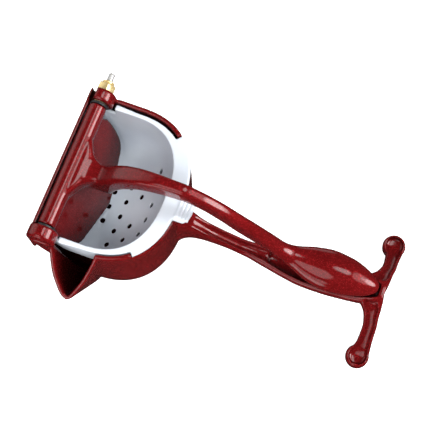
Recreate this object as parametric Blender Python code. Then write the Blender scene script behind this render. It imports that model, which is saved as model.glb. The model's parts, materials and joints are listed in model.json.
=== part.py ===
"""Hand press for citrus fruit: a cast bowl with a pouring lip and a footed lower handle, a cast
lever with a press plate and a bulb grip, a lift-out strainer, and a hinge pin with a brass nut.

The frame has +X running from the hinge towards the handles, +Y along the hinge towards the nut
and +Z up.  The origin is the middle of the flat under the bowl, on the plane the press rests on.
Profile tables below are in millimetres from the hinge axis; everything is built in metres.
"""
import math

import bmesh
import bpy
from mathutils import Matrix, Vector
from mathutils.bvhtree import BVHTree

for old in list(bpy.data.objects):
    bpy.data.objects.remove(old, do_unlink=True)

MM = 0.001

# ---------------------------------------------------------------- driving dimensions (mm)
HINGE_X = -31.0          # hinge axis, measured from the middle of the bowl's flat underside
HINGE_Z = 76.0           # hinge axis above the resting plane
WALL = 3.0               # casting wall of the bowl

BOWL_BACK = -9.0         # outer face of the back wall
BOWL_FRONT = 71.0        # outermost point of the round front
BOWL_HALF = 50.5         # half width across the bowl's rim
BOWL_SHOULDER = 25.0     # where the straight sides turn into the round front
FRONT_POWER = 2.4        # how square the round front is
REAR_FLARE = 2.3         # the near side stands this much wider at the hinge than at the shoulder
FAR_BULGE = 1.2          # the far side stands this much wider than the near one
RIM_Z = -3.0             # rim of the bowl below the hinge axis
NOTCH_APEX = 20.5         # the rim drops inside a wedge, to let the strainer's flange through
NOTCH_SPREAD = math.radians(50.0)
NOTCH_Z = -7.0

LUG_RADIUS = {-1: 9.2, 1: 8.6}     # near lug, far lug
LUG_END = {-1: 52.2, 1: 51.4}
LUG_OUTER = LUG_END[1]
LUG_INNER = 43.4
PIN_RADIUS = 2.0
PIN_NEAR_END = -47.6
PIN_FAR_END = 65.0
BARREL_RADIUS = 5.6
BARREL_HALF = 41.5
SLEEVE_RADIUS = 4.2
FIT_GAP = 0.3

PLATE_ANGLE = math.radians(71.0)   # press plate below the horizontal when the lever is closed
PLATE_CENTRE = -1.8
PLATE_THICKNESS = 4.6

SHEET = 2.0              # wall of the strainer
HOLE_RADIUS = 1.6          # at the inner skin
HOLE_LAND = 0.5            # straight length before the hole flares outwards
HOLE_FLARE = 0.9
HOLE_CENTRE = -2.2         # middle of the hole pattern
HOLE_PITCH = 10.6
RAMP_CENTRE = (7.0, -2.0)


# ---------------------------------------------------------------- helpers
def at(x, y, z):
    """Point given in millimetres from the hinge axis, as metres in the part's frame."""
    return Vector(((x + HINGE_X) * MM, y * MM, (z + HINGE_Z) * MM))


def material(name, colour, metallic, roughness):
    mat = bpy.data.materials.new(name)
    mat.use_nodes = True
    shader = mat.node_tree.nodes["Principled BSDF"]
    shader.inputs["Base Color"].default_value = (*colour, 1.0)
    shader.inputs["Metallic"].default_value = metallic
    shader.inputs["Roughness"].default_value = roughness
    mat.diffuse_color = (*colour, 1.0)
    return mat


def mesh_object(name, verts, faces):
    mesh = bpy.data.meshes.new(name)
    mesh.from_pydata([tuple(v) for v in verts], [], faces)
    mesh.validate()
    bm = bmesh.new()
    bm.from_mesh(mesh)
    bmesh.ops.remove_doubles(bm, verts=bm.verts, dist=1e-6)
    bmesh.ops.recalc_face_normals(bm, faces=bm.faces)
    bm.to_mesh(mesh)
    bm.free()
    ob = bpy.data.objects.new(name, mesh)
    bpy.context.scene.collection.objects.link(ob)
    return ob


def loft(name, rings):
    """Closed solid through equal-length rings of points given in hinge millimetres."""
    count = len(rings[0])
    verts = [at(*p) for ring in rings for p in ring]
    faces = []
    for k in range(len(rings) - 1):
        for i in range(count):
            j = (i + 1) % count
            faces.append((k * count + i, k * count + j, (k + 1) * count + j, (k + 1) * count + i))
    faces.append(tuple(reversed(range(count))))
    faces.append(tuple((len(rings) - 1) * count + i for i in range(count)))
    return mesh_object(name, verts, faces)


def hull(name, points):
    """Convex solid around points given in hinge millimetres."""
    bm = bmesh.new()
    for p in points:
        bm.verts.new(at(*p))
    result = bmesh.ops.convex_hull(bm, input=bm.verts)
    loose = [v for v in result["geom_interior"] if isinstance(v, bmesh.types.BMVert)]
    bmesh.ops.delete(bm, geom=loose, context="VERTS")
    bmesh.ops.recalc_face_normals(bm, faces=bm.faces)
    mesh = bpy.data.meshes.new(name)
    bm.to_mesh(mesh)
    bm.free()
    ob = bpy.data.objects.new(name, mesh)
    bpy.context.scene.collection.objects.link(ob)
    return ob


def box(name, x0, x1, y0, y1, z0, z1):
    return hull(name, [(x, y, z) for x in (x0, x1) for y in (y0, y1) for z in (z0, z1)])


def rod(name, radius, y0, y1, sides=24, x=0.0, z=0.0, turn=0.0):
    """Cylinder along the hinge direction."""
    rings = []
    for y in (y0, y1):
        rings.append([(x + radius * math.cos(turn + 2 * math.pi * i / sides), y,
                       z + radius * math.sin(turn + 2 * math.pi * i / sides))
                      for i in range(sides)])
    return loft(name, rings)


def boolean(target, tool, operation):
    mod = target.modifiers.new("cut", "BOOLEAN")
    mod.operation = operation
    mod.solver = "EXACT"
    mod.object = tool
    depsgraph = bpy.context.evaluated_depsgraph_get()
    mesh = bpy.data.meshes.new_from_object(target.evaluated_get(depsgraph))
    target.modifiers.clear()
    bm = bmesh.new()
    bm.from_mesh(mesh)
    bmesh.ops.remove_doubles(bm, verts=bm.verts, dist=1e-6)
    bm.to_mesh(mesh)
    bm.free()
    old_mesh = target.data
    target.data = mesh
    bpy.data.meshes.remove(old_mesh)
    bpy.data.objects.remove(tool, do_unlink=True)
    return target


def cut(target, tool):
    return boolean(target, tool, "DIFFERENCE")


def add(target, tool):
    return boolean(target, tool, "UNION")


def finish(ob, mat):
    """Weld slivers, triangulate flat caps and give the node its material."""
    bm = bmesh.new()
    bm.from_mesh(ob.data)
    bmesh.ops.remove_doubles(bm, verts=bm.verts, dist=2e-5)
    bmesh.ops.dissolve_degenerate(bm, edges=bm.edges, dist=2e-5)
    bmesh.ops.triangulate(bm, faces=bm.faces)
    bmesh.ops.recalc_face_normals(bm, faces=bm.faces)
    bm.to_mesh(ob.data)
    bm.free()
    ob.data.materials.clear()
    ob.data.materials.append(mat)
    return ob


def d_outline(z, back, front, half, corner=6.0, shoulder=BOWL_SHOULDER, power=FRONT_POWER,
              arc=18, taper=0.0, bulge=0.0):
    """D-shaped ring: straight back, straight sides, super-elliptic front."""
    pts = []
    shoulder = min(shoulder, 0.5 * (back + front) + 2.0)
    corner = min(corner, shoulder - back - 0.5, half - 0.5)
    for k in range(4):                                   # rear corner on the -Y side
        a = math.radians(180 + 30 * k)
        pts.append((back + corner + corner * math.cos(a),
                    -(half + taper) + corner + corner * math.sin(a), z))
    for k in range(arc + 1):                             # round front, from -Y to +Y
        a = math.radians(-90 + 180 * k / arc)
        c, s = max(math.cos(a), 0.0), math.sin(a)
        pts.append((shoulder + (front - shoulder) * c ** (2 / power),
                    math.copysign(abs(s) ** (2 / power), s) * (half + bulge * (s > 0)), z))
    taper = min(taper, bulge + 0.3)
    for k in range(4):                                   # rear corner on the +Y side
        a = math.radians(90 + 30 * k)
        pts.append((back + corner + corner * math.cos(a),
                    (half + taper) - corner + corner * math.sin(a), z))
    return pts


def section(x, top, bottom, half, power, y0=0.0, count=16):
    """Upright super-elliptic section across the handles."""
    ring = []
    for i in range(count):
        a = 2 * math.pi * (i + 0.5) / count
        c, s = math.cos(a), math.sin(a)
        ring.append((x, y0 + half * math.copysign(abs(c) ** (2 / power), c),
                     0.5 * (top + bottom) + 0.5 * (top - bottom)
                     * math.copysign(abs(s) ** (2 / power), s)))
    return ring


# ---------------------------------------------------------------- materials
RED = material("red_enamel", (0.13, 0.004, 0.006), 0.35, 0.22)
RED_LEVER = material("red_enamel_lever", (0.13, 0.004, 0.006), 0.35, 0.22)
ALLOY = material("satin_alloy", (0.62, 0.64, 0.68), 0.6, 0.35)
STEEL = material("bright_steel", (0.70, 0.70, 0.70), 1.0, 0.2)
BRASS = material("pale_brass", (0.83, 0.66, 0.32), 1.0, 0.25)
BLACK_NEAR = material("black_nylon_near", (0.01, 0.01, 0.01), 0.0, 0.5)
BLACK_FAR = material("black_nylon_far", (0.01, 0.01, 0.01), 0.0, 0.5)


# ---------------------------------------------------------------- body casting
# height of the ring, inset of the outer skin, inset of the chamber (None where there is none)
BOWL_LEVELS = [(RIM_Z, 0.0), (-8.0, 0.0), (-20.0, 0.2), (-40.0, 0.8), (-52.0, 1.4), (-62.0, 2.8),
               (-69.5, 6.4), (-74.0, 11.6), (-76.0, 18.0)]
CHAMBER_LEVELS = [(12.0, 3.0), (-8.0, 3.0), (-20.0, 3.3), (-40.0, 4.0), (-52.0, 4.8), (-62.0, 7.0),
                  (-68.5, 12.0), (-71.5, 19.0)]


def bowl_ring(z, inset):
    corner = min(20.0, max(5.0, 1.0 - 0.62 * z))
    return d_outline(z, BOWL_BACK + inset * 0.8, BOWL_FRONT - inset, BOWL_HALF - inset,
                     corner=corner, taper=REAR_FLARE, bulge=FAR_BULGE)


def notch():
    """Wedge that ends the rim square to its wall on both sides."""
    reach = 70.0
    wing = reach * math.tan(NOTCH_SPREAD)
    return hull("notch", [(x, y, z) for z in (NOTCH_Z, 10.0) for x, y in
                          ((NOTCH_APEX, 0.0), (NOTCH_APEX + reach, wing), (NOTCH_APEX + reach, -wing))])


# pouring lip: distance down its slanting rim, rear edge, front edge; then the rim's start and slope
LIP_RIM = [(0.0, 4.0, 36.5), (12.0, 6.0, 33.2), (21.5, 8.1, 30.2), (31.0, 11.8, 26.2), (36.0, 14.2, 23.8),
           (39.0, 16.6, 21.9), (40.3, 18.8, 20.2)]
LIP_START = (-50.0, -4.0)
LIP_SLOPE = (-0.596, -0.803)
LIP_WALL = 2.7
LIP_TIP = (19.5, -71.0, -39.8)     # underside of the tip
LIP_KEEL = (22.0, -48.0, -71.0)    # where the keel meets the bowl

# lower handle: station, top of its rims, underside, half width, squareness
HANDLE = [(62.0, -20.0, -60.0, 17.0, 3.0), (68.6, -21.0, -57.5, 12.4, 3.5), (71.4, -24.6, -56.4, 8.8, 4.0),
          (74.0, -27.0, -55.4, 7.2, 4.0), (80.0, -31.5, -53.6, 5.7, 4.0),
          (88.0, -37.2, -52.2, 5.0, 4.0), (99.0, -42.6, -52.4, 4.7, 4.0),
          (112.0, -47.4, -55.6, 4.9, 4.0), (125.0, -48.8, -57.8, 6.8, 4.0),
          (140.0, -48.3, -58.0, 9.7, 4.0), (153.0, -47.4, -57.6, 11.6, 4.0),
          (166.0, -46.4, -56.6, 12.0, 4.0), (180.0, -45.4, -55.4, 11.3, 4.0),
          (192.0, -43.5, -53.4, 10.3, 4.0), (200.0, -42.0, -50.5, 7.6, 4.0),
          (205.0, -42.0, -49.5, 6.0, 3.5)]
# channel in its top: station, floor, half width
CHANNEL = [(75.5, -31.0, 5.0), (81.0, -35.0, 4.2), (88.0, -40.4, 3.6), (99.0, -45.6, 3.3),
           (112.0, -50.2, 3.5), (129.6, -51.4, 4.8)]
# pocket for the bulb of the lever
POCKET = [(128.5, -53.6, 4.8), (140.0, -54.0, 7.7), (153.0, -53.8, 9.5), (166.0, -53.2, 9.8),
          (180.0, -52.0, 9.0), (192.0, -49.6, 7.0), (201.4, -47.0, 4.4)]
# one arm of the foot bar: distance from the middle, centre line, half width, top, thickness
FOOT_ARM = [(0.0, 199.4, 5.8, -42.0, 8.0), (7.0, 197.6, 8.6, -43.4, 8.0), (11.0, 200.2, 6.4, -45.6, 8.2),
            (15.0, 201.8, 5.0, -48.6, 8.4), (22.0, 203.2, 4.5, -54.5, 9.0),
            (30.0, 203.2, 4.9, -61.0, 9.6), (37.0, 202.2, 6.4, -65.2, 9.6),
            (42.0, 201.8, 6.0, -66.0, 9.4)]
LOBE = (201.8, 38.6, 7.6)          # centre x, centre y, radius
LOBE_TOP = -65.6
# hollow along the top of each arm and its lobe: distance from the middle, centre line, half width, floor
TRAY = [(7.6, 198.6, 4.1, -46.9), (11.0, 200.0, 4.5, -48.8), (15.0, 201.5, 3.1, -51.8),
        (22.0, 203.0, 2.9, -57.8), (30.0, 203.0, 3.3, -64.4), (35.0, 202.2, 4.9, -67.8),
        (38.8, 201.9, 5.7, -69.0), (42.0, 201.9, 4.9, -69.0), (44.2, 201.9, 2.4, -69.0)]


def across(y, cx, half, top, bottom):
    """Upright squared section of the foot bar."""
    ring = []
    for i in range(12):
        a = 2 * math.pi * (i + 0.5) / 12
        c, s = math.cos(a), math.sin(a)
        ring.append((cx + half * math.copysign(abs(c) ** 0.55, c), y,
                     0.5 * (top + bottom) + 0.5 * (top - bottom) * math.copysign(abs(s) ** 0.55, s)))
    return ring


def foot_arm(side):
    return loft("foot_arm", [across(side * y, cx, half, top, top - thick)
                             for y, cx, half, top, thick in FOOT_ARM])


def tray(side):
    return loft("tray", [across(side * y, cx, half, floor + 9.0, floor) for y, cx, half, floor in TRAY])


def lobe(side):
    cx, cy, radius = LOBE
    rings = []
    for z, scale in ((-HINGE_Z, 0.78), (-HINGE_Z + 2.4, 0.97), (LOBE_TOP - 3.0, 1.0),
                     (LOBE_TOP - 0.8, 0.9), (LOBE_TOP, 0.7)):
        rings.append([(cx + radius * scale * math.cos(2 * math.pi * i / 20),
                       side * cy + radius * scale * math.sin(2 * math.pi * i / 20), z)
                      for i in range(20)])
    return loft("lobe", rings)


body = loft("body_casting", [bowl_ring(z, inset) for z, inset in BOWL_LEVELS])
add(body, loft("handle", [section(x, t, b, h, p) for x, t, b, h, p in HANDLE]))
add(body, box("rail", BOWL_BACK, BOWL_BACK + 2.5, -LUG_END[-1] + 0.3, LUG_END[1] - 0.3, -20.0, 1.0))


def lip_point(x, down, proud=0.0):
    """Point on the lip's slanting rim, or proud of it."""
    return (x, LIP_START[0] + LIP_SLOPE[0] * down + LIP_SLOPE[1] * proud,
            LIP_START[1] + LIP_SLOPE[1] * down - LIP_SLOPE[0] * proud)


keel = LIP_KEEL
outer = [lip_point(x, down) for down, *edges in LIP_RIM for x in edges]
outer += [LIP_TIP, (4.0, -40.0, -4.0), (36.5, -40.0, -4.0)]
outer += [(keel[0] + dx, keel[1] + dy, keel[2] + dz)
          for dx in (-1, 1) for dx, dy, dz in ((5 * dx, -1.5, 4), (8 * dx, 10, 0))]
add(body, hull("lip", outer))
cut(body, loft("chamber", [bowl_ring(z, inset) for z, inset in CHAMBER_LEVELS]))
inner = [lip_point(x, down * 0.965 - 1.5, proud)
         for down, back, front in LIP_RIM[:-1] for x in (back + LIP_WALL, front - LIP_WALL) for proud in (-0.2, 8)]
inner += [(x, -38.0, 4.0) for x in (4.0 + LIP_WALL, 36.5 - LIP_WALL)]
inner += [(LIP_TIP[0], LIP_TIP[1] + 2.7, LIP_TIP[2] + 1.8), (keel[0], keel[1] + 2.5, keel[2] + 5.5),
          (keel[0] - 4, keel[1] + 12, keel[2] + 5), (keel[0] + 4, keel[1] + 12, keel[2] + 5)]
cut(body, hull("lip_bore", inner))
cut(body, notch())
for side in (-1, 1):
    end, radius = LUG_END[side], LUG_RADIUS[side]
    add(body, rod("lug", radius, *sorted((side * LUG_INNER, side * end)), 28))
    add(body, rod("lug_foot", 5.0, *sorted((side * (LUG_INNER + 3.6), side * (end - 0.6))), 12, x=-3.0, z=-9.5))
    cut(body, box("lug_face", -20.0, radius + 1.0, *sorted((side * end, side * 60.0)), -13.0, 20.0))
cut(body, rod("recess", 6.2, -LUG_END[-1] - 1.0, -LUG_END[-1] + 1.2, 24))
cut(body, rod("blind_bore", PIN_RADIUS + FIT_GAP, PIN_NEAR_END - 0.4, -LUG_INNER + 5.0, 16))
cut(body, rod("far_bore", SLEEVE_RADIUS + FIT_GAP, LUG_INNER - 5.0, LUG_OUTER + 5.0, 20))
cut(body, box("slot", BOWL_BACK + 2.5, -3.2, LUG_INNER - 2.0, LUG_OUTER + 2.0, -1.0, 12.0))
for side in (-1, 1):
    add(body, foot_arm(side))
    add(body, lobe(side))
cut(body, loft("channel", [section(x, 10.0, f, h, 5.0) for x, f, h in CHANNEL]))
cut(body, loft("pocket", [section(x, -30.0, f, h, 3.0) for x, f, h in POCKET]))
for side in (-1, 1):
    cut(body, tray(side))
finish(body, RED)


# ---------------------------------------------------------------- lever casting
# arm and bulb: station, top, underside, half width, squareness
ARM = [(2.0, 4.6, -4.6, 27.0, 6.0), (6.5, 4.2, -6.0, 17.5, 6.0), (11.0, 3.0, -8.0, 9.6, 5.0),
       (18.0, 2.6, -16.0, 6.5, 5.0), (24.0, 8.4, -17.0, 6.3, 5.0), (30.0, 14.6, -6.5, 6.1, 5.0),
       (38.0, 20.6, 4.5, 5.9, 5.0), (50.0, 26.2, 11.8, 5.2, 4.5), (62.0, 28.6, 13.6, 4.4, 4.5),
       (74.0, 28.4, 14.0, 4.0, 4.5), (85.0, 24.8, 10.6, 3.8, 4.5), (97.0, 18.0, 1.2, 3.8, 4.5),
       (109.0, 8.0, -11.5, 3.9, 4.0), (121.0, -3.6, -20.5, 4.3, 3.5), (130.0, -13.6, -27.5, 4.8, 3.0),
       (138.0, -22.8, -34.6, 5.4, 2.4), (146.0, -27.0, -40.0, 7.8, 2.1),
       (156.0, -27.4, -43.6, 11.4, 2.0), (168.0, -26.8, -45.6, 13.4, 2.0),
       (180.0, -27.6, -45.4, 12.2, 2.0), (191.0, -31.0, -44.0, 8.8, 2.0),
       (198.0, -34.6, -42.4, 4.8, 2.0), (200.4, -36.6, -41.0, 2.4, 2.0)]
# press plate: distance below the hinge, half width
PLATE_EDGE = [(1.5, 39.4), (8.8, 39.6), (12.5, 41.2), (21.0, 40.8), (29.0, 39.4), (34.5, 37.6), (38.0, 35.2),
              (40.2, 32.2), (42.0, 27.6), (44.2, 22.4), (47.8, 13.0), (50.8, 5.2), (52.4, 0.0)]


def press_plate():
    """Tongue hanging from the barrel, coming to a blunt point at its lower end."""
    down = Vector((math.cos(PLATE_ANGLE), 0.0, -math.sin(PLATE_ANGLE)))
    across = Vector((math.sin(PLATE_ANGLE), 0.0, math.cos(PLATE_ANGLE)))
    edge = [(r, -half) for r, half in PLATE_EDGE] + [(r, half) for r, half in PLATE_EDGE[-2::-1]]
    rings = []
    for offset, shrink in ((-PLATE_THICKNESS / 2, 0.985), (-PLATE_THICKNESS / 2 + 0.8, 1.0),
                           (PLATE_THICKNESS / 2 - 0.8, 1.0), (PLATE_THICKNESS / 2, 0.985)):
        ring = []
        for r, y in edge:
            p = down * (r * shrink if r > 5 else r) + across * offset
            ring.append((p.x, y * shrink + PLATE_CENTRE, p.z))
        rings.append(ring)
    return loft("plate", rings)


lever = rod("lever_casting", BARREL_RADIUS, -BARREL_HALF, BARREL_HALF, 28)
add(lever, press_plate())
add(lever, loft("arm", [section(*row) for row in ARM]))
cut(lever, rod("bore", PIN_RADIUS + FIT_GAP, -BARREL_HALF - 5, BARREL_HALF + 5, 16))
finish(lever, RED_LEVER)


# ---------------------------------------------------------------- strainer
# height, rear, front and half width of the outer skin
BASKET = [(-4.0, -3.4, 62.6, 46.2), (-15.0, -3.2, 61.4, 46.0), (-28.0, -2.6, 57.2, 45.2),
          (-39.0, -1.2, 50.6, 42.8), (-48.0, 1.4, 40.8, 38.6), (-54.0, 4.6, 31.0, 33.0),
          (-57.4, 8.6, 23.6, 26.0), (-58.6, 11.0, 20.0, 20.0)]
FLANGE_TOP = -3.2
FLANGE_REAR = 9.3
FLANGE_STEP = {-1: 1.0, 1: -0.6}   # inside the skin of the bowl in front of the notch, near and far side


def basket_ring(z, rear, front, half, inset, lift):
    corner = min(13.0, max(4.5, 2.0 - 0.35 * z)) - inset
    return d_outline(z + lift, rear + inset, front - inset, half - inset, corner=corner,
                     shoulder=22.0, power=2.5, arc=16)


def flange_ring(z):
    """Inside the rim along the sides, over the wall of the bowl in front of the notch."""
    def y_at(x, inset):
        u = max(0.0, (x - BOWL_SHOULDER) / (BOWL_FRONT - inset - BOWL_SHOULDER))
        return (BOWL_HALF - inset) * (1.0 - u ** FRONT_POWER) ** (1 / FRONT_POWER)

    def crossing(inset):
        """Where that outline meets the side of the notch, less the fitting gap."""
        low, high = BOWL_SHOULDER, BOWL_FRONT - 6.0
        for _ in range(30):
            x = 0.5 * (low + high)
            inside = y_at(x, inset) > math.tan(NOTCH_SPREAD) * (x - NOTCH_APEX - 0.5)
            low, high = (x, high) if inside else (low, x)
        return low

    def outline(side):
        step = FLANGE_STEP[side]
        inner, outer = crossing(WALL + 0.7), crossing(step)
        reach = BOWL_FRONT - step - 0.1 - outer
        points = [(FLANGE_REAR, 47.9)]
        points += [(x, y_at(x, WALL + 0.7)) for x in
                   (BOWL_SHOULDER + (inner - BOWL_SHOULDER) * k / 7 for k in range(8))]
        points += [(x, y_at(x, step)) for x in (outer + reach * math.sin(math.pi * k / 14) for k in range(8))]
        return [(x, side * y, z) for x, y in points]

    return outline(-1) + outline(1)[::-1]


def lift_tab():
    ring = [(64.0, -10.8), (76.0, -10.8), (78.6, -8.4), (79.6, -4.0), (79.6, 4.0), (78.6, 8.4),
            (76.0, 10.8), (64.0, 10.8)]
    return loft("tab", [[(x, y, z) for x, y in ring] for z in (NOTCH_Z + FIT_GAP, FLANGE_TOP)])


strainer = loft("strainer_basket", [basket_ring(*row, 0.0, 0.0) for row in BASKET])
add(strainer, loft("flange", [flange_ring(NOTCH_Z + FIT_GAP), flange_ring(FLANGE_TOP)]))
add(strainer, lift_tab())
add(strainer, hull("tab_lip", [(x, y, z) for y in (-8.0, 8.0) for x, z in
                               ((BOWL_FRONT + 1.0, -5.0), (79.0, -5.0), (78.0, -11.0),
                                (BOWL_FRONT + 1.6, -11.0))]))
for k in range(4):
    x = 70.6 + 2.3 * k
    add(strainer, box("ridge", x, x + 1.1, -8.6, 8.6, FLANGE_TOP - 0.4, FLANGE_TOP + 0.55))
inner = [basket_ring(*row, SHEET, SHEET) for row in BASKET]
inner.insert(0, [(x, y, 6.0) for x, y, _ in inner[0]])
inner[1] = [(x, y, -4.0) for x, y, _ in inner[1]]
cut(strainer, loft("inside", inner))
cut(strainer, box("rear_relief", -20.0, FLANGE_REAR, -60.0, 60.0, -10.6, 10.0))


def hole_cutters(skin, sides=8):
    """Holes square to the ramp and to the rear wall, straight at the inner skin and flared behind it."""
    tree = BVHTree.FromObject(skin, bpy.context.evaluated_depsgraph_get())
    verts, faces = [], []

    def cutter(start, direction):
        hit = tree.ray_cast(at(*start), direction)[0]
        turn = direction.to_track_quat("Z", "Y").to_matrix()
        base = len(verts)
        for depth, radius in ((-2.0, HOLE_RADIUS), (HOLE_LAND, HOLE_RADIUS),
                              (HOLE_LAND + 4.0, HOLE_RADIUS + 4.0 * HOLE_FLARE)):
            for i in range(sides):
                a = 2 * math.pi * (i + 0.5) / sides
                verts.append(hit + turn @ Vector((radius * math.cos(a), radius * math.sin(a), depth)) * MM)
        for ring in (base, base + sides):
            faces.extend((ring + i, ring + (i + 1) % sides, ring + sides + (i + 1) % sides, ring + sides + i)
                         for i in range(sides))
        faces.append(tuple(base + i for i in reversed(range(sides))))
        faces.append(tuple(base + 2 * sides + i for i in range(sides)))

    cx, cz = RAMP_CENTRE
    for degrees, columns in ((43.0, (-2.7, -1.5, -0.5, 0.5, 1.5, 2.7)), (56.5, (-2, -1, 1, 2)),
                             (68.2, (-2.5, -1.5, -0.5, 0.5, 1.5, 2.5)), (80.2, (-1, 0, 1))):
        a = math.radians(degrees)
        for c in columns:
            cutter((cx, HOLE_CENTRE + c * HOLE_PITCH, cz), Vector((math.cos(a), 0.0, -math.sin(a))))
    for z, columns in ((-24.0, (-1.5, -0.5, 0.5, 1.5)), (-36.0, (-1, 0, 1))):
        for c in columns:
            cutter((cx, HOLE_CENTRE + c * HOLE_PITCH, z), Vector((-1.0, 0.0, 0.0)))
    return mesh_object("holes", verts, faces)


cut(strainer, hole_cutters(strainer))
finish(strainer, ALLOY)


# ---------------------------------------------------------------- hinge hardware
pin = rod("hinge_pin", PIN_RADIUS, PIN_NEAR_END, PIN_FAR_END, 16)
finish(pin, STEEL)

nut = rod("brass_nut", 6.0, LUG_OUTER + FIT_GAP, LUG_OUTER + 5.4, 6, turn=math.radians(12))
add(nut, rod("collar", 3.9, LUG_OUTER + 4.0, LUG_OUTER + 7.6, 20))
add(nut, rod("sleeve", SLEEVE_RADIUS, LUG_INNER + FIT_GAP, LUG_OUTER + 2.0, 20))
cut(nut, rod("nut_bore", PIN_RADIUS + FIT_GAP, LUG_INNER - 5.0, LUG_OUTER + 12.0, 16))
finish(nut, BRASS)

for side, node, mat in ((-1, "thrust_washer_near", BLACK_NEAR), (1, "thrust_washer_far", BLACK_FAR)):
    y0, y1 = sorted((side * (BARREL_HALF + FIT_GAP), side * (LUG_INNER - FIT_GAP)))
    washer = rod(node, 5.4, y0, y1, 24)
    cut(washer, rod("washer_bore", PIN_RADIUS + FIT_GAP, y0 - 3.0, y1 + 3.0, 16))
    finish(washer, mat)
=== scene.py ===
"""Looks of the hand citrus press: flaked red enamel castings, a satin alloy strainer, brass and steel
hinge hardware, on a plain pale floor under soft studio light.

Profile tables are in millimetres from the hinge axis (+X to the handles, +Y to the nut, +Z up).
"""
import json
import math

import bmesh
import bpy
import numpy as np
from mathutils import Matrix, Vector
from mathutils.bvhtree import BVHTree


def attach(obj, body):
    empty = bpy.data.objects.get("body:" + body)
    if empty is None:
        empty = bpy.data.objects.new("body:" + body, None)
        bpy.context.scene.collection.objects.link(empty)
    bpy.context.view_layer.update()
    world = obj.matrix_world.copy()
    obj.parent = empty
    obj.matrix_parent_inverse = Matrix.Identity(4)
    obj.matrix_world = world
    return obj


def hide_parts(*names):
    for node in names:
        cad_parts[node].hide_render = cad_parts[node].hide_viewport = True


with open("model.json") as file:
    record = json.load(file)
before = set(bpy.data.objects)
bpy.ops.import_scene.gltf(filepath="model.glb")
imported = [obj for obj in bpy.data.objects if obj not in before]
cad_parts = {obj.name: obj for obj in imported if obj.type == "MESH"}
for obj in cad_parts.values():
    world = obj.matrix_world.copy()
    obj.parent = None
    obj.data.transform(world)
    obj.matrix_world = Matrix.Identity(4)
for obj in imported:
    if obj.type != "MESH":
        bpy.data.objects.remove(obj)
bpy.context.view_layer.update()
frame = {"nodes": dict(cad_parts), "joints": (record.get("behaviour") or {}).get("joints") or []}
MM = 0.001
HINGE = Vector(next(j for j in frame["joints"] if j["name"] == "lever_hinge")["pos_m"])


# ---------------------------------------------------------------- dimensions (mm from the hinge)
WALL = 3.0                 # casting wall of the bowl
BOWL_BACK = -9.0           # outer face of the back wall
BOWL_FRONT = 71.0          # outermost point of the round front
BOWL_HALF = 50.5           # half width across the bowl's rim
BOWL_SHOULDER = 25.0       # where the straight sides turn into the round front
FRONT_POWER = 2.4          # how square the round front is
REAR_FLARE = 2.3           # the near side stands this much wider at the hinge than at the shoulder
FAR_BULGE = 1.2            # the far side stands this much wider than the near one
RIM_Z = -3.0
NOTCH_APEX = 20.5          # the rim drops inside a wedge, to let the strainer's flange through
NOTCH_SPREAD = math.radians(50.0)
NOTCH_Z = -7.0
FLOOR_Z = -76.0
RAIL_DEPTH = 2.5           # rail behind the hinge, from lug to lug
RAIL_FOOT, RAIL_TOP = -20.0, 1.0

LUG_RADIUS = {-1: 9.2, 1: 8.6}     # near lug, far lug
LUG_END = {-1: 52.2, 1: 51.4}
LUG_OUTER = LUG_END[1]
LUG_INNER = 43.4
LUG_ROUND = 1.2            # radius of the boss's outer edge
PIN_RADIUS = 2.0
PIN_NEAR_END = -47.6
PIN_FAR_END = 65.0
BARREL_RADIUS = 5.6
BARREL_HALF = 41.5
SLEEVE_RADIUS = 4.2
FIT_GAP = 0.3
NUT_RADIUS = 6.0           # to the corners of the hexagon
COLLAR_RADIUS = 3.9
COLLAR_GROOVE = 3.55

PLATE_ANGLE = math.radians(71.0)   # press plate below the horizontal when the lever is closed
PLATE_CENTRE = -1.8
PLATE_THICKNESS = 4.6
PLATE_EDGE_SHRINK = 0.985  # its faces, against its middle

SHEET = 2.0                # wall of the strainer
HOLE_RADIUS = 1.6          # at the inner skin
HOLE_LAND = 0.5            # straight length before the hole flares outwards
HOLE_FLARE = 0.9
HOLE_CENTRE = -2.2         # middle of the hole pattern
HOLE_PITCH = 10.6
RAMP_CENTRE = (7.0, -2.0)  # x and z that the rows of holes in the front wall look from

# cell of each remeshed skin
CAST_VOXEL = 0.6
LEVER_VOXEL = 0.55
STRAINER_VOXEL = 0.5


# ---------------------------------------------------------------- mesh helpers
def at(x, y, z):
    """Place in the scene of a point in hinge millimetres."""
    return HINGE + Vector((x, y, z)) * MM


def link(name, data):
    ob = bpy.data.objects.new(name, data)
    bpy.context.scene.collection.objects.link(ob)
    return ob


def from_bmesh(name, bm):
    mesh = bpy.data.meshes.new(name)
    bm.to_mesh(mesh)
    bm.free()
    return link(name, mesh)


def mesh_object(name, verts, faces):
    """Object of the given points and faces, with double points merged and normals facing out."""
    mesh = bpy.data.meshes.new(name)
    mesh.from_pydata([tuple(v) for v in verts], [], faces)
    mesh.validate()
    bm = bmesh.new()
    bm.from_mesh(mesh)
    bmesh.ops.remove_doubles(bm, verts=bm.verts, dist=1e-6)
    bmesh.ops.recalc_face_normals(bm, faces=bm.faces)
    bm.to_mesh(mesh)
    bm.free()
    return link(name, mesh)


def loft(name, rings):
    """Closed solid through equal-length rings of points given in hinge millimetres."""
    count = len(rings[0])
    verts = [at(*p) for ring in rings for p in ring]
    faces = []
    for start in range(0, (len(rings) - 1) * count, count):
        for i in range(count):
            j = (i + 1) % count
            faces.append((start + i, start + j, start + count + j, start + count + i))
    faces.append(tuple(reversed(range(count))))
    faces.append(tuple((len(rings) - 1) * count + i for i in range(count)))
    return mesh_object(name, verts, faces)


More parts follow.
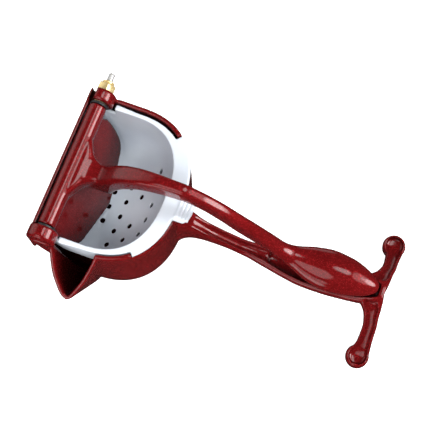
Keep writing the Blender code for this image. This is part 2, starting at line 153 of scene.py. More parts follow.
def hull(name, points):
    """Convex solid round points given in hinge millimetres."""
    bm = bmesh.new()
    for p in points:
        bm.verts.new(at(*p))
    result = bmesh.ops.convex_hull(bm, input=bm.verts)
    inside = [v for v in result["geom_interior"] if isinstance(v, bmesh.types.BMVert)]
    bmesh.ops.delete(bm, geom=inside, context="VERTS")
    bmesh.ops.recalc_face_normals(bm, faces=bm.faces)
    return from_bmesh(name, bm)


def box(name, x0, x1, y0, y1, z0, z1):
    return hull(name, [(x, y, z) for x in (x0, x1) for y in (y0, y1) for z in (z0, z1)])


def lathe(name, profile, sides=64, x=0.0, z=0.0, turn=0.0):
    """Solid of revolution along the hinge direction from (y, radius) pairs."""
    angles = [turn + 2 * math.pi * i / sides for i in range(sides)]
    return loft(name, [[(x + r * math.cos(a), y, z + r * math.sin(a)) for a in angles] for y, r in profile])


def rod(name, radius, y0, y1, sides=64, x=0.0, z=0.0):
    return lathe(name, [(y0, radius), (y1, radius)], sides, x, z)


def settle(ob):
    """The object's mesh with its modifiers applied."""
    depsgraph = bpy.context.evaluated_depsgraph_get()
    mesh = bpy.data.meshes.new_from_object(ob.evaluated_get(depsgraph))
    ob.modifiers.clear()
    old = ob.data
    ob.data = mesh
    bpy.data.meshes.remove(old)
    return ob


def carve(parts, tool, operation="DIFFERENCE"):
    """Cuts the tool out of every part, or applies another operation, and removes the tool."""
    for part in parts:
        mod = part.modifiers.new("carve", "BOOLEAN")
        mod.operation, mod.solver, mod.object = operation, "EXACT", tool
        settle(part)
    bpy.data.objects.remove(tool, do_unlink=True)


def cut(target, tool):
    carve([target], tool)


def join(name, parts):
    """One object holding the meshes of several, which may overlap."""
    bm = bmesh.new()
    for part in parts:
        bm.from_mesh(part.data)
        bpy.data.objects.remove(part, do_unlink=True)
    return from_bmesh(name, bm)


def remesh(ob, voxel):
    """One skin over overlapping solids, in even cells."""
    mod = ob.modifiers.new("skin", "REMESH")
    mod.mode, mod.voxel_size, mod.adaptivity = "VOXEL", voxel * MM, 0.0
    settle(ob)


def relax(ob, rounds, weight=None):
    """Moves each vertex half way to the mean of its neighbours, times its weight."""
    mesh = ob.data
    co = np.empty(len(mesh.vertices) * 3)
    mesh.vertices.foreach_get("co", co)
    co = co.reshape(-1, 3)
    ends = np.empty(len(mesh.edges) * 2, dtype=np.int32)
    mesh.edges.foreach_get("vertices", ends)
    a, b = ends[::2], ends[1::2]
    count = np.bincount(ends, minlength=len(co)).astype(float)
    hinge_mm = (co - np.array(HINGE)) / MM
    share = 0.5 * (np.ones(len(co)) if weight is None else weight(*hinge_mm.T))
    for _ in range(rounds):
        for axis in range(3):
            column = co[:, axis]
            total = (np.bincount(a, column[b], len(co)) + np.bincount(b, column[a], len(co)))
            co[:, axis] = column + share * (total / count - column)
    mesh.vertices.foreach_set("co", co.ravel())
    mesh.update()


def ball(cx, cy, cz, core, edge):
    """Weight of one within core millimetres of a point, falling to nothing at edge."""
    def weight(x, y, z):
        r = np.sqrt((x - cx) ** 2 + (y - cy) ** 2 + (z - cz) ** 2)
        t = np.clip((edge - r) / (edge - core), 0, 1)
        return t * t * (3 - 2 * t)
    return weight


def stations(table, step):
    """A table of stations read at even steps of its first column, on a monotone curve through it."""
    rows = np.array(table, float)
    if rows[0, 0] > rows[-1, 0]:
        return stations(rows[::-1], step)[::-1]
    x = rows[:, 0]
    gap = np.diff(x)[:, None]
    slope = np.diff(rows, axis=0) / gap
    tangent = np.vstack([slope[:1], np.zeros((len(x) - 2, rows.shape[1])), slope[-1:]])
    same = slope[:-1] * slope[1:] > 0
    mean = 3 * (gap[:-1] + gap[1:]) / ((2 * gap[1:] + gap[:-1]) / np.where(same, slope[:-1], 1)
                                       + (gap[1:] + 2 * gap[:-1]) / np.where(same, slope[1:], 1))
    tangent[1:-1] = np.where(same, mean, 0)
    out = []
    for s in np.linspace(x[0], x[-1], max(2, int(round((x[-1] - x[0]) / step)) + 1)):
        k = min(np.searchsorted(x, s, side="right") - 1, len(x) - 2)
        h = x[k + 1] - x[k]
        t = (s - x[k]) / h
        out.append((2 * t**3 - 3 * t**2 + 1) * rows[k] + (t**3 - 2 * t**2 + t) * h * tangent[k]
                   + (3 * t**2 - 2 * t**3) * rows[k + 1] + (t**3 - t**2) * h * tangent[k + 1])
    return [tuple(float(v) for v in row) for row in out]


def power_of(value, power):
    """Sine or cosine bent for a super-ellipse: a power of 2 is round, more is squarer."""
    return math.copysign(abs(value) ** (2 / power), value)


def d_outline(z, back, front, half, corner, shoulder=BOWL_SHOULDER, power=FRONT_POWER, taper=0.0,
              bulge=0.0, arc=72, bend=10):
    """D-shaped ring: straight back, straight sides, super-elliptic front."""
    shoulder = min(shoulder, 0.5 * (back + front) + 2.0)
    corner = min(corner, shoulder - back - 0.5, half - 0.5)
    rear = []
    for k in range(bend + 1):
        a = math.radians(180 + 90 * k / bend)
        rear.append((back + corner + corner * math.cos(a),
                     -(half + taper) + corner + corner * math.sin(a), z))
    nose = []
    for k in range(arc + 1):
        a = math.radians(-90 + 180 * k / arc)
        nose.append((shoulder + (front - shoulder) * power_of(max(math.cos(a), 0.0), power),
                     power_of(math.sin(a), power) * (half + bulge * (a > 0)), z))
    far = [(x, -y + min(taper, bulge + 0.3) - taper, z) for x, y, z in reversed(rear)]
    return rear + nose + far


def super_ellipse(half, top, bottom, power, count):
    """Pairs (sideways, up) round an upright super-ellipse."""
    middle, reach = 0.5 * (top + bottom), 0.5 * (top - bottom)
    angles = [2 * math.pi * (i + 0.5) / count for i in range(count)]
    return [(half * power_of(math.cos(a), power), middle + reach * power_of(math.sin(a), power))
            for a in angles]


def section(x, top, bottom, half, power):
    """Section across the handles."""
    return [(x, y, z) for y, z in super_ellipse(half, top, bottom, power, 56)]


# ---------------------------------------------------------------- body casting
# height of the ring and its inset: outer skin, then chamber
BOWL_LEVELS = [(RIM_Z, 0.0), (-8.0, 0.0), (-20.0, 0.2), (-40.0, 0.8), (-52.0, 1.4), (-62.0, 2.8),
               (-69.5, 6.4), (-74.0, 11.6), (FLOOR_Z, 18.0)]
CHAMBER_LEVELS = [(RIM_Z, 3.0), (-8.0, 3.0), (-20.0, 3.3), (-40.0, 4.0), (-52.0, 4.8), (-62.0, 7.0),
                  (-68.5, 12.0), (-71.5, 19.0)]

# pouring lip: distance down its slanting rim, rear edge, front edge; then the rim's start and slope
LIP_RIM = [(0.0, 4.0, 36.5), (12.0, 6.0, 33.2), (21.5, 8.1, 30.2), (31.0, 11.8, 26.2), (36.0, 14.2, 23.8),
           (39.0, 16.6, 21.9), (40.3, 18.8, 20.2)]
LIP_START = (-50.0, -4.0)
LIP_SLOPE = (-0.596, -0.803)
LIP_WALL = 2.7
LIP_TIP = (19.5, -71.0, -39.8)     # underside of the tip
LIP_KEEL = (22.0, -48.0, -71.0)    # where the keel meets the bowl

# lower handle: station, top of its rims, underside, half width, squareness
HANDLE = [(68.6, -21.0, -57.5, 12.4, 3.5), (71.4, -24.6, -56.4, 8.8, 4.0),
          (74.0, -27.0, -55.4, 7.2, 4.0), (80.0, -31.5, -53.6, 5.7, 4.0),
          (88.0, -37.2, -52.2, 5.0, 4.0), (99.0, -42.6, -52.4, 4.7, 4.0),
          (112.0, -47.4, -55.6, 4.9, 4.0), (125.0, -48.8, -57.8, 6.8, 4.0),
          (140.0, -48.3, -58.0, 9.7, 4.0), (153.0, -47.4, -57.6, 11.6, 4.0),
          (166.0, -46.4, -56.6, 12.0, 4.0), (180.0, -45.4, -55.4, 11.3, 4.0),
          (192.0, -43.5, -53.4, 10.3, 4.0), (200.0, -42.0, -50.5, 7.6, 4.0),
          (205.0, -42.0, -49.5, 6.0, 3.5)]
# channel in its top: station, floor, half width
CHANNEL = [(75.5, -31.0, 5.0), (81.0, -35.0, 4.2), (88.0, -40.4, 3.6), (99.0, -45.6, 3.3),
           (112.0, -50.2, 3.5), (129.6, -51.4, 4.8)]
# pocket for the bulb of the lever
POCKET = [(128.5, -53.6, 4.8), (140.0, -54.0, 7.7), (153.0, -53.8, 9.5), (166.0, -53.2, 9.8),
          (180.0, -52.0, 9.0), (192.0, -49.6, 7.0), (201.4, -47.0, 4.4)]
# one arm of the foot bar: distance from the middle, centre line, half width, top, thickness
FOOT_ARM = [(0.0, 199.4, 5.8, -42.0, 8.0), (7.0, 197.6, 8.6, -43.4, 8.0), (11.0, 200.2, 6.4, -45.6, 8.2),
            (15.0, 201.8, 5.0, -48.6, 8.4), (22.0, 203.2, 4.5, -54.5, 9.0),
            (30.0, 203.2, 4.9, -61.0, 9.6), (37.0, 202.2, 6.4, -65.2, 9.6),
            (42.0, 201.8, 6.0, -66.0, 9.4)]
# hollow along the top of each arm and its lobe: distance from the middle, centre line, half width, floor
TRAY = [(7.6, 198.6, 4.1, -46.9), (11.0, 200.0, 4.5, -48.8), (15.0, 201.5, 3.1, -51.8),
        (22.0, 203.0, 2.9, -57.8), (30.0, 203.0, 3.3, -64.4), (35.0, 202.2, 4.9, -67.8),
        (38.8, 201.9, 5.7, -69.0), (42.0, 201.9, 4.9, -69.0), (44.2, 201.9, 2.4, -69.0)]
LOBE = (201.8, 38.6, 7.6)          # centre x, centre y, radius
LOBE_TOP = -65.6
# lobe: height and share of its radius
LOBE_LEVELS = [(FLOOR_Z, 0.78), (FLOOR_Z + 2.4, 0.97), (LOBE_TOP - 3.0, 1.0), (LOBE_TOP - 0.8, 0.94),
               (LOBE_TOP, 0.8)]
HANDLE_ROOT = (71, 0, -40)         # where the handle leaves the bowl
FOOT_BAR_X, FOOT_BAR_Y = 190, 6    # the arms of the foot bar lie beyond these


def bowl_ring(z, inset):
    corner = min(20.0, max(5.0, 1.0 - 0.62 * z))
    return d_outline(z, BOWL_BACK + inset * 0.8, BOWL_FRONT - inset, BOWL_HALF - inset, corner,
                     taper=REAR_FLARE, bulge=FAR_BULGE)


def notch():
    """Wedge that ends the rim square to its wall on both sides."""
    reach = 70.0
    wing = reach * math.tan(NOTCH_SPREAD)
    return hull("notch", [(x, y, z) for z in (NOTCH_Z, 10.0) for x, y in
                          ((NOTCH_APEX, 0.0), (NOTCH_APEX + reach, wing), (NOTCH_APEX + reach, -wing))])


def foot_ring(y, side, cx, half, top, bottom, power=3.6):
    """Section across one arm of the foot bar."""
    return [(cx + x, side * y, z) for x, z in super_ellipse(half, top, bottom, power, 32)]


def foot_arm(side):
    return loft("foot_arm", [foot_ring(y, side, cx, half, top, top - thick)
                             for y, cx, half, top, thick in stations(FOOT_ARM, 1.0)])


def tray(side):
    """Cutter for the hollow along one arm and its lobe."""
    return loft("tray", [foot_ring(y, side, cx, half, depth + 9.0, depth, power=4.5)
                         for y, cx, half, depth in stations(TRAY, 0.8)])


def lobe(side, sides=48):
    """Round pad under the end of one arm."""
    cx, cy, radius = LOBE
    angles = [2 * math.pi * i / sides for i in range(sides)]
    return loft("lobe", [[(cx + radius * scale * math.cos(a), side * cy + radius * scale * math.sin(a), z)
                          for a in angles] for z, scale in LOBE_LEVELS])


def lip_point(x, down, proud=0.0):
    """Point on the lip's slanting rim, or proud of it."""
    return (x, LIP_START[0] + LIP_SLOPE[0] * down + LIP_SLOPE[1] * proud,
            LIP_START[1] + LIP_SLOPE[1] * down - LIP_SLOPE[0] * proud)


def bowl_parts():
    """Bowl, rail and pouring lip, opened into each other."""
    outer = [bowl_ring(z, inset) for z, inset in stations(BOWL_LEVELS, 1.5)]
    inner = [bowl_ring(z, inset) for z, inset in stations(CHAMBER_LEVELS, 1.5)]
    shell = loft("bowl", outer[::-1] + inner)
    rail = box("rail", BOWL_BACK, BOWL_BACK + RAIL_DEPTH, -LUG_END[-1] + FIT_GAP, LUG_END[1] - FIT_GAP,
               RAIL_FOOT, RAIL_TOP)
    rim = stations(LIP_RIM, 1.5)
    lip_rear, lip_front = LIP_RIM[0][1:]
    tip, keel = Vector(LIP_TIP), Vector(LIP_KEEL)
    skin = [lip_point(x, down) for down, *edges in rim for x in edges]
    skin += [tip, (lip_rear, -40.0, LIP_START[1]), (lip_front, -40.0, LIP_START[1])]
    skin += [keel + Vector(off) for off in ((-5, -1.5, 4), (5, -1.5, 4), (-8, 10, 0), (8, 10, 0))]
    lip = hull("lip", skin)
    cut(lip, loft("chamber", [[(x, y, 6.0) for x, y, _ in inner[0]]] + inner))
    bore = [lip_point(x, down * 0.965 - 1.5, proud) for down, back, front in rim
            for x in (back + LIP_WALL, front - LIP_WALL) for proud in (-0.2, 8) if back + LIP_WALL < front]
    bore += [(x, -38.0, 4.0) for x in (lip_rear + LIP_WALL, lip_front - LIP_WALL)]
    bore += [tip + Vector((0, LIP_WALL, 1.8))]
    bore += [keel + Vector(off) for off in ((0, 2.5, 5.5), (-4, 12, 5), (4, 12, 5))]
    carve([shell, lip], hull("lip_bore", bore))
    cut(shell, notch())
    return [shell, rail, lip]


def handle_parts():
    """Lower handle and foot bar, hollowed along their tops."""
    handle = loft("handle", [section(*row) for row in stations(HANDLE, 1.5)])
    arms = [foot_arm(-1), foot_arm(1)]
    lobes = [lobe(-1), lobe(1)]
    cut(handle, loft("channel", [section(x, 10.0, depth, half, 5.0)
                                 for x, depth, half in stations(CHANNEL, 2.0)]))
    carve([handle] + arms, loft("pocket", [section(x, -30.0, depth, half, 3.0)
                                           for x, depth, half in stations(POCKET, 2.0)]))
    for side in (-1, 1):
        carve([handle] + arms + lobes, tray(side))
    return [handle] + arms + lobes


def make_lug(side):
    """Boss with a rounded outer edge, and the foot that joins it to the bowl."""
    end, radius = LUG_END[side], LUG_RADIUS[side]
    round_over = [(end - LUG_ROUND * (1 - math.sin(a)), radius - LUG_ROUND * (1 - math.cos(a)))
                  for a in np.linspace(0, math.pi / 2, 6)]
    boss = lathe("lug", [(side * y, r) for y, r in [(LUG_INNER, radius)] + round_over])
    foot = rod("lug_foot", 5.0, side * (LUG_INNER + 3.6), side * (end - 0.6), 24, x=-3.0, z=-9.5)
    return boss, foot


def make_body():
    """Bowl, lip, rail, lugs, lower handle and foot bar in one enamelled skin."""
    shell, rail, lip = bowl_parts()
    near_lug, near_foot = make_lug(-1)
    far_lug, far_foot = make_lug(1)
    for side in (-1, 1):
        y0, y1 = sorted((side * LUG_END[side], side * 60.0))
        cut(shell, box("lug_face", -20.0, LUG_RADIUS[side] + 1.0, y0, y1, -13.0, 20.0))
    cut(near_lug, rod("recess", 6.2, -LUG_END[-1] - 1.0, -LUG_END[-1] + 1.2))
    cut(near_lug, rod("blind_bore", PIN_RADIUS + FIT_GAP, PIN_NEAR_END - 0.4, -LUG_INNER + 5.0, 32))
    cut(far_lug, rod("far_bore", SLEEVE_RADIUS + FIT_GAP, LUG_INNER - 5.0, LUG_OUTER + 5.0, 48))
    cut(far_lug, box("slot", BOWL_BACK + RAIL_DEPTH, -3.2, LUG_INNER - 2.0, LUG_OUTER + 2.0, -1.0, 12.0))
    body = join("body_enamel", [shell, rail, lip, near_lug, near_foot, far_lug, far_foot] + handle_parts())
    remesh(body, CAST_VOXEL)
    relax(body, 60, ball(*HANDLE_ROOT, 10, 24))
    relax(body, 6, lambda x, y, z: np.where((x > FOOT_BAR_X) & (abs(y) > FOOT_BAR_Y), 0.0, 1.0))
    relax(body, 2)
    return body


# ---------------------------------------------------------------- lever casting
# arm and bulb: station, top, underside, half width, squareness
ARM = [(2.0, 4.6, -4.6, 27.0, 6.0), (6.5, 4.2, -6.0, 17.5, 6.0), (11.0, 3.0, -8.0, 9.6, 5.0),
       (18.0, 2.6, -16.0, 6.5, 5.0), (24.0, 8.4, -17.0, 6.3, 5.0), (30.0, 14.6, -6.5, 6.1, 5.0),
       (38.0, 20.6, 4.5, 5.9, 5.0), (50.0, 26.2, 11.8, 5.2, 4.5), (62.0, 28.6, 13.6, 4.4, 4.5),
       (74.0, 28.4, 14.0, 4.0, 4.5), (85.0, 24.8, 10.6, 3.8, 4.5), (97.0, 18.0, 1.2, 3.8, 4.5),
       (109.0, 8.0, -11.5, 3.9, 4.0), (121.0, -3.6, -20.5, 4.3, 3.5), (130.0, -13.6, -27.5, 4.8, 3.0),
       (138.0, -22.8, -34.6, 5.4, 2.4), (146.0, -27.0, -40.0, 7.8, 2.1),
       (156.0, -27.4, -43.6, 11.4, 2.0), (168.0, -26.8, -45.6, 13.4, 2.0),
       (180.0, -27.6, -45.4, 12.2, 2.0), (191.0, -31.0, -44.0, 8.8, 2.0),
       (198.0, -34.6, -42.4, 4.8, 2.0), (200.4, -36.6, -41.0, 2.4, 2.0)]
# press plate: distance below the hinge, half width
PLATE_EDGE = [(1.5, 39.4), (8.8, 39.6), (12.5, 41.2), (21.0, 40.8), (29.0, 39.4), (34.5, 37.6), (38.0, 35.2),
              (40.2, 32.2), (42.0, 27.6), (44.2, 22.4), (47.8, 13.0), (50.8, 5.2), (52.4, 0.0)]


def press_plate():
    """Tongue hanging from the barrel, coming to a blunt point at its lower end."""
    down = Vector((math.cos(PLATE_ANGLE), 0.0, -math.sin(PLATE_ANGLE)))
    across = Vector((math.sin(PLATE_ANGLE), 0.0, math.cos(PLATE_ANGLE)))
    side = stations(PLATE_EDGE, 0.8)
    edge = [(r, -half) for r, half in side] + [(r, half) for r, half in side[-2::-1]]
    rings = []
    face, soft = PLATE_THICKNESS / 2, PLATE_THICKNESS / 2 - 0.8
    for offset, shrink in ((-face, PLATE_EDGE_SHRINK), (-soft, 1.0), (soft, 1.0), (face, PLATE_EDGE_SHRINK)):
        ring = []
        for r, y in edge:
            p = down * (r * shrink if r > 5 else r) + across * offset
            ring.append((p.x, y * shrink + PLATE_CENTRE, p.z))
        rings.append(ring)
    return loft("plate", rings)


def make_lever():
    """Barrel, press plate, arm and bulb in one enamelled skin."""
    barrel = rod("barrel", BARREL_RADIUS, -BARREL_HALF, BARREL_HALF)
    plate = press_plate()
    arm = loft("arm", [section(*row) for row in stations(ARM, 1.2)])
    carve([barrel, plate, arm], rod("bore", PIN_RADIUS + FIT_GAP, -BARREL_HALF - 5, BARREL_HALF + 5, 32))
    lever = join("lever_enamel", [barrel, plate, arm])
    remesh(lever, LEVER_VOXEL)
    relax(lever, 8)
    return lever


# ---------------------------------------------------------------- strainer
# height, rear, front and half width of the outer skin
BASKET = [(-4.0, -3.4, 62.6, 46.2), (-15.0, -3.2, 61.4, 46.0), (-28.0, -2.6, 57.2, 45.2),
          (-39.0, -1.2, 50.6, 42.8), (-48.0, 1.4, 40.8, 38.6), (-54.0, 4.6, 31.0, 33.0),
          (-57.4, 8.6, 23.6, 26.0), (-58.6, 11.0, 20.0, 20.0)]
FLANGE_TOP = -3.2
FLANGE_REAR = 9.3
FLANGE_REAR_HALF = 47.9
FLANGE_STEP = {-1: 1.0, 1: -0.6}   # inside the skin of the bowl in front of the notch, near and far side
TAB_HALF = 10.8
TAB_END = 79.6
RIDGES = 4
# rows of holes: angle below the horizontal (front wall) or height (rear wall), places in pitches
FRONT_ROWS = [(43.0, (-2.7, -1.5, -0.5, 0.5, 1.5, 2.7)), (56.5, (-2, -1, 1, 2)),
              (68.2, (-2.5, -1.5, -0.5, 0.5, 1.5, 2.5)), (80.2, (-1, 0, 1))]
REAR_ROWS = [(-24.0, (-1.5, -0.5, 0.5, 1.5)), (-36.0, (-1, 0, 1))]


def basket_ring(z, rear, front, half, inset, lift):
    """Ring of the basket's outer skin, or of its inner one with an inset and a lift."""
    corner = min(13.0, max(4.5, 2.0 - 0.35 * z)) - inset
    return d_outline(z + lift, rear + inset, front - inset, half - inset, corner, shoulder=22.0,
                     power=2.5)


def flange_ring(z):
    """Inside the rim along the sides, over the wall of the bowl in front of the notch."""
    def y_at(x, inset):
        u = max(0.0, (x - BOWL_SHOULDER) / (BOWL_FRONT - inset - BOWL_SHOULDER))
        return (BOWL_HALF - inset) * (1.0 - min(u, 1.0) ** FRONT_POWER) ** (1 / FRONT_POWER)

    def crossing(inset):
        """Where that outline meets the side of the notch, less the fitting gap."""
        low, high = BOWL_SHOULDER, BOWL_FRONT - 6.0
        for _ in range(30):
            x = 0.5 * (low + high)
            inside = y_at(x, inset) > math.tan(NOTCH_SPREAD) * (x - NOTCH_APEX - 0.5)
            low, high = (x, high) if inside else (low, x)
        return low

    def outline(side):
        step = FLANGE_STEP[side]
        inner, outer = crossing(WALL + 0.7), crossing(step)
        xs = outer + (BOWL_FRONT - step - outer) * np.sin(np.linspace(0, 1.5, 24))
        points = [(FLANGE_REAR, FLANGE_REAR_HALF)]
        points += [(x, y_at(x, WALL + 0.7)) for x in np.linspace(BOWL_SHOULDER, inner, 24)]
        points += [(x, y_at(x, step)) for x in xs]
        return [(x, side * y, z) for x, y in points]

    return outline(-1) + outline(1)[::-1]


def lift_tab():
    """Tab at the front of the flange, its turned-down edge and the ridges across its top."""
    near = [(64.0, -TAB_HALF), (76.0, -TAB_HALF), (78.6, -8.4), (TAB_END, -4.0)]
    ring = near + [(x, -y) for x, y in reversed(near)]
    tab = loft("tab", [[(x, y, z) for x, y in ring] for z in (NOTCH_Z + FIT_GAP, FLANGE_TOP)])
    edge = hull("tab_edge", [(x, y, z) for y in (-8.0, 8.0) for x, z in
                             ((BOWL_FRONT + 1.0, -5.0), (79.0, -5.0), (78.0, -11.0),
                              (BOWL_FRONT + 1.6, -11.0))])
    ridges = [box("ridge", x, x + 1.2, -8.6, 8.6, FLANGE_TOP - 0.6, FLANGE_TOP + 0.75)
              for x in (70.4 + 2.4 * k for k in range(RIDGES))]
    return [tab, edge] + ridges


def hole_cutters(skin, sides=20):
    """Holes square to the ramp and to the rear wall, straight at the inner skin and flared behind it."""
    tree = BVHTree.FromObject(skin, bpy.context.evaluated_depsgraph_get())
    verts, faces = [], []

    def cutter(start, way):
        hit = tree.ray_cast(at(*start), way)[0]
        turn = way.to_track_quat("Z", "Y").to_matrix()
        base = len(verts)
        for depth, radius in ((-2.0, HOLE_RADIUS), (HOLE_LAND, HOLE_RADIUS),
                              (HOLE_LAND + 4.0, HOLE_RADIUS + 4.0 * HOLE_FLARE)):
            for i in range(sides):
                a = 2 * math.pi * (i + 0.5) / sides
                verts.append(hit + turn @ Vector((radius * math.cos(a), radius * math.sin(a), depth)) * MM)
        for ring in (base, base + sides):
            faces.extend((ring + i, ring + (i + 1) % sides, ring + sides + (i + 1) % sides, ring + sides + i)
                         for i in range(sides))
        faces.append(tuple(base + i for i in reversed(range(sides))))
        faces.append(tuple(base + 2 * sides + i for i in range(sides)))

    cx, cz = RAMP_CENTRE
    for degrees, columns in FRONT_ROWS:
        a = math.radians(degrees)
        for c in columns:
            cutter((cx, HOLE_CENTRE + c * HOLE_PITCH, cz), Vector((math.cos(a), 0.0, -math.sin(a))))
    for z, columns in REAR_ROWS:
        for c in columns:
            cutter((cx, HOLE_CENTRE + c * HOLE_PITCH, z), Vector((-1.0, 0.0, 0.0)))
    return mesh_object("holes", verts, faces)


def make_strainer():
    """Perforated basket with its flange and lift tab, in one skin."""
    outer = [basket_ring(*row, 0.0, 0.0) for row in stations(BASKET, 1.2)]
    inner = [basket_ring(*row, SHEET, SHEET) for row in stations(BASKET, 1.2)]
    top = [(x, y, BASKET[0][0]) for x, y, _ in inner[0]]
    basket = loft("basket", outer[::-1] + [top] + inner[1:])
    flange = loft("flange", [flange_ring(NOTCH_Z + FIT_GAP), flange_ring(FLANGE_TOP)])
    cut(flange, loft("inside", [[(x, y, z) for x, y, _ in inner[0]] for z in (-12.0, 6.0)]))
    carve([basket, flange], box("rear_relief", -20.0, FLANGE_REAR, -60.0, 60.0, -10.6, 10.0))
    cut(basket, hole_cutters(basket))
    strainer = join("strainer_alloy", [basket, flange] + lift_tab())
    remesh(strainer, STRAINER_VOXEL)
    relax(strainer, 3, lambda x, y, z: np.where(z > -12, 1.0, 0.3))
    relax(strainer, 1)
    return strainer


# ---------------------------------------------------------------- hinge hardware
def make_pin():
    """Plain pin whose far end carries a short rolled thread and a chamfer."""
    r = PIN_RADIUS
    profile = [(PIN_NEAR_END, 0.05), (PIN_NEAR_END, r - 0.4), (PIN_NEAR_END + 0.4, r)]
    y = PIN_FAR_END - 6.4
    while y < PIN_FAR_END - 0.9:
        profile += [(y, r), (y + 0.25, r - 0.26), (y + 0.5, r)]
        y += 0.7
    profile += [(PIN_FAR_END - 0.5, r - 0.05), (PIN_FAR_END, r - 0.55), (PIN_FAR_END, 0.05)]
    return lathe("pin_steel", profile, 40)


def make_nut():
    """Hexagon with chamfered corners, a turned collar and the sleeve that enters the lug."""
    low, high, start = LUG_OUTER + FIT_GAP, LUG_OUTER + 5.4, LUG_INNER + FIT_GAP
    wide, narrow = COLLAR_RADIUS, COLLAR_GROOVE
    hexagon = lathe("hexagon", [(low, NUT_RADIUS - 0.5), (low + 0.45, NUT_RADIUS), (high - 0.45, NUT_RADIUS),
                                (high, NUT_RADIUS - 0.5)], 6, turn=math.radians(12))
    collar = lathe("collar", [(high - 1.4, wide), (high + 0.35, wide), (high + 0.5, narrow),
                              (high + 0.75, narrow), (high + 0.9, wide), (high + 1.9, wide),
                              (high + 2.2, narrow)], 48)
    sleeve = lathe("sleeve", [(start, SLEEVE_RADIUS - 0.3), (start + 0.3, SLEEVE_RADIUS),
                              (LUG_OUTER + 2.0, SLEEVE_RADIUS)], 48)
    carve([hexagon, collar, sleeve], rod("bore", PIN_RADIUS + FIT_GAP, LUG_INNER - 5, LUG_OUTER + 12, 40))
    for tool in (collar, sleeve):
        carve([hexagon], tool, "UNION")
    hexagon.name = "nut_brass"
    mod = hexagon.modifiers.new("edges", "BEVEL")
    mod.width, mod.segments, mod.limit_method, mod.angle_limit = 0.12 * MM, 2, "ANGLE", math.radians(25)
    return settle(hexagon)


# ---------------------------------------------------------------- materials
ENAMEL_DEEP, ENAMEL_LIGHT = (0.11, 0.004, 0.004, 1), (0.145, 0.005, 0.006, 1)
FLAKE_BRIGHT, FLAKE_DARK = (0.42, 0.02, 0.025, 1), (0.04, 0.001, 0.002, 1)
# painted highlight colour for sharp edges, and painted shade colour for recesses
ENAMEL_EDGE_HIGHLIGHT, ENAMEL_RECESS_SHADE = (0.35, 0.03, 0.035, 1), (0.004, 0.001, 0.001, 1)
FLAKE_SCALE = 3000.0       # flakes to the metre
FLAKE_TILT = 0.22
ALLOY_DEEP, ALLOY_LIGHT = (0.74, 0.80, 0.88, 1), (0.80, 0.86, 0.92, 1)
# painted highlight colour for edges, and painted shade colour for the holes
ALLOY_EDGE_HIGHLIGHT, ALLOY_HOLE_SHADE = (0.9, 0.9, 0.91, 1), (0.03, 0.02, 0.02, 1)
STEEL_DEEP, STEEL_LIGHT = (0.62, 0.62, 0.62, 1), (0.75, 0.75, 0.75, 1)
BRASS_DEEP, BRASS_LIGHT = (0.80, 0.60, 0.26, 1), (0.90, 0.72, 0.38, 1)
NYLON_DEEP, NYLON_LIGHT = (0.008, 0.008, 0.009, 1), (0.02, 0.02, 0.021, 1)


def material(name, **values):
    """A Principled material, with its constant values, and its node tree and shader."""
    mat = bpy.data.materials.new(name)
    mat.use_nodes = True
    shader = mat.node_tree.nodes["Principled BSDF"]
    for key, value in values.items():
        shader.inputs[key.replace("_", " ")].default_value = value
    return mat, mat.node_tree, shader


def put(tree, kind, settings=None, **sockets):
    """Adds a node; a socket given another node's output is linked to it. s0, s1 are sockets by number."""
    node = tree.nodes.new("ShaderNode" + kind)
    for key, value in (settings or {}).items():
        setattr(node, key, value)
    for key, value in sockets.items():
        socket = node.inputs[int(key[1:])] if key[1:].isdigit() else node.inputs[key.replace("_", " ")]
        if isinstance(value, bpy.types.NodeSocket):
            tree.links.new(value, socket)
        else:
            socket.default_value = value
    return node


def mapped(tree, value, low, high, to_low, to_high):
    """A value's range stretched onto another, clamped at both ends."""
    return put(tree, "MapRange", None, Value=value, From_Min=low, From_Max=high, To_Min=to_low,
               To_Max=to_high).outputs[0]


def mixed(tree, factor, a, b):
    """Colour a where the factor is 0, colour b where it is 1."""
    return put(tree, "Mix", {"data_type": "RGBA"}, s0=factor, s6=a, s7=b).outputs[2]


def noise(tree, spot, scale, detail):
    return put(tree, "TexNoise", None, Vector=spot, Scale=scale, Detail=detail).outputs[0]


def bumped(tree, height, strength, distance):
    """Normal tilted by a height, in metres at full strength."""
    return put(tree, "Bump", None, Height=height, Strength=strength, Distance=distance).outputs[0]


